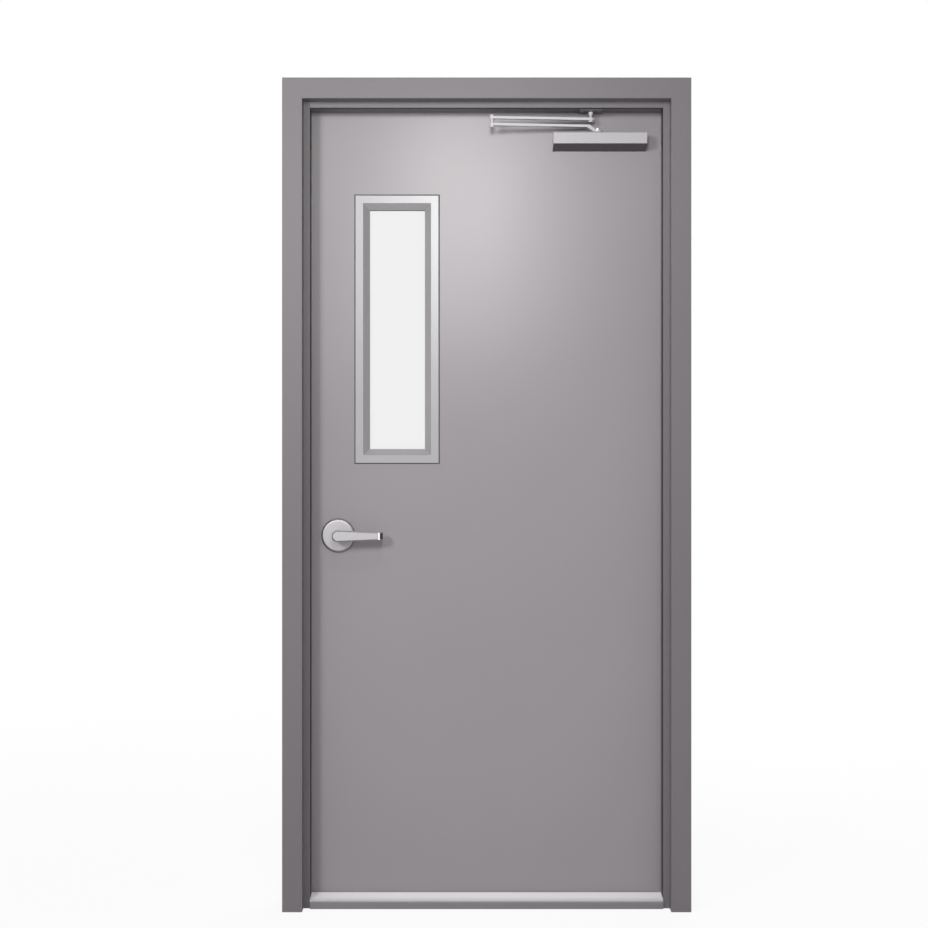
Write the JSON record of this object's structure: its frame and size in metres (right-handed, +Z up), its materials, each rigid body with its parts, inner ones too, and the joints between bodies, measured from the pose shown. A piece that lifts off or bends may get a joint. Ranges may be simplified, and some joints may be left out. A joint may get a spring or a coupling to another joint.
{
  "type": "steel door with vision lite and frame",
  "caption": "Grey steel door leaf with a narrow glazed vision lite, lever set and arm closer, hinged in a double-rabbet steel frame with a metal threshold.",
  "frame": {"origin": "on the floor, under the middle of the threshold, in the middle of the opening and of the frame's depth", "axes": "+Z up, +X along the wall towards the hinges, +Y through the wall away from the push side"},
  "size_m": [1.02, 0.205, 2.08],
  "materials": {
    "frame_paint": "satin grey paint",
    "leaf_paint": "satin grey paint",
    "trim_metal": "satin pale grey",
    "satin_steel": "satin",
    "closer_silver": "satin silver paint",
    "hinge_steel": "satin",
    "bright_steel": "zinc plated",
    "dark_steel": "primed",
    "mill_aluminium": "mill",
    "black_rubber": "matt",
    "kraft_core": "kraft paper honeycomb",
    "clear_glass": "clear"
  },
  "bodies": {
    "frame": {"hinge_jamb": "frame_paint", "strike_jamb": "frame_paint", "frame_head": "frame_paint", "floor_anchors": "dark_steel", "strike_plate": "satin_steel", "strike_screws": "bright_steel", "strike_box": "dark_steel", "hinge_side_seal": "black_rubber", "strike_side_seal": "black_rubber", "head_seal": "black_rubber", "threshold": "mill_aluminium", "threshold_screws": "bright_steel", "closer_shoe": "closer_silver", "shoe_screws": "bright_steel", "top_hinge_frame_plate": "hinge_steel", "top_hinge_pin": "hinge_steel", "middle_hinge_frame_plate": "hinge_steel", "middle_hinge_pin": "hinge_steel", "bottom_hinge_frame_plate": "hinge_steel", "bottom_hinge_pin": "hinge_steel", "frame_hinge_screws": "bright_steel"},
    "leaf": {"leaf_push_skin": "leaf_paint", "leaf_pull_skin": "leaf_paint", "leaf_core": "kraft_core", "leaf_top_channel": "leaf_paint", "leaf_bottom_channel": "leaf_paint", "leaf_hinge_channel": "dark_steel", "leaf_lock_channel": "dark_steel", "lite_glass": "clear_glass", "lite_push_trim": "trim_metal", "lite_pull_trim": "trim_metal", "lite_push_tape": "black_rubber", "lite_pull_tape": "black_rubber", "lite_screws": "bright_steel", "push_rose": "satin_steel", "pull_rose": "satin_steel", "lock_chassis": "bright_steel", "latch_case": "bright_steel", "latch_faceplate": "satin_steel", "latch_screws": "bright_steel", "closer_body": "dark_steel", "closer_cover": "closer_silver", "closer_screws": "bright_steel", "top_hinge_leaf_plate": "hinge_steel", "middle_hinge_leaf_plate": "hinge_steel", "bottom_hinge_leaf_plate": "hinge_steel", "leaf_hinge_screws": "bright_steel"},
    "levers": {"push_lever": "satin_steel", "pull_lever": "satin_steel", "lever_spindle": "bright_steel"},
    "latch": {"latch_bolt": "satin_steel"},
    "main_arm": {"closer_main_arm": "closer_silver", "closer_spindle": "bright_steel", "closer_arm_screw": "bright_steel"},
    "forearm": {"closer_forearm": "closer_silver"}
  },
  "joints": [
    {"name": "door_swing", "type": "hinge", "parent": "frame", "child": "leaf", "pos_m": [0.4585, 0.0803, 1.0705], "axis": [0, 0, -1], "range_deg": [0, 100], "stiffness_Nm_per_rad": 10, "springref_deg": -85.94},
    {"name": "lever_turn", "type": "hinge", "parent": "leaf", "child": "levers", "pos_m": [-0.377, 0.04975, 0.935], "axis": [0, 1, 0], "range_deg": [0, 45], "stiffness_Nm_per_rad": 2, "springref_deg": -34.38},
    {"name": "latch_throw", "type": "slide", "parent": "leaf", "child": "latch", "axis": [-1, 0, 0], "range_m": [0, 0.0127]},
    {"name": "main_arm_turn", "type": "hinge", "parent": "leaf", "child": "main_arm", "pos_m": [0.282, 0.0035, 1.96], "axis": [0, 0, -1], "range_deg": [-103.6, 0]},
    {"name": "forearm_turn", "type": "hinge", "parent": "frame", "child": "forearm", "pos_m": [0.264, -0.0025, 1.9885], "axis": [0, 0, -1], "range_deg": [0, 68.4]}
  ],
  "couplings": [
    {"joint": "main_arm_turn", "follows": "door_swing", "ratio": -1.0347},
    {"joint": "forearm_turn", "follows": "door_swing", "ratio": 0.68183}
  ]
}
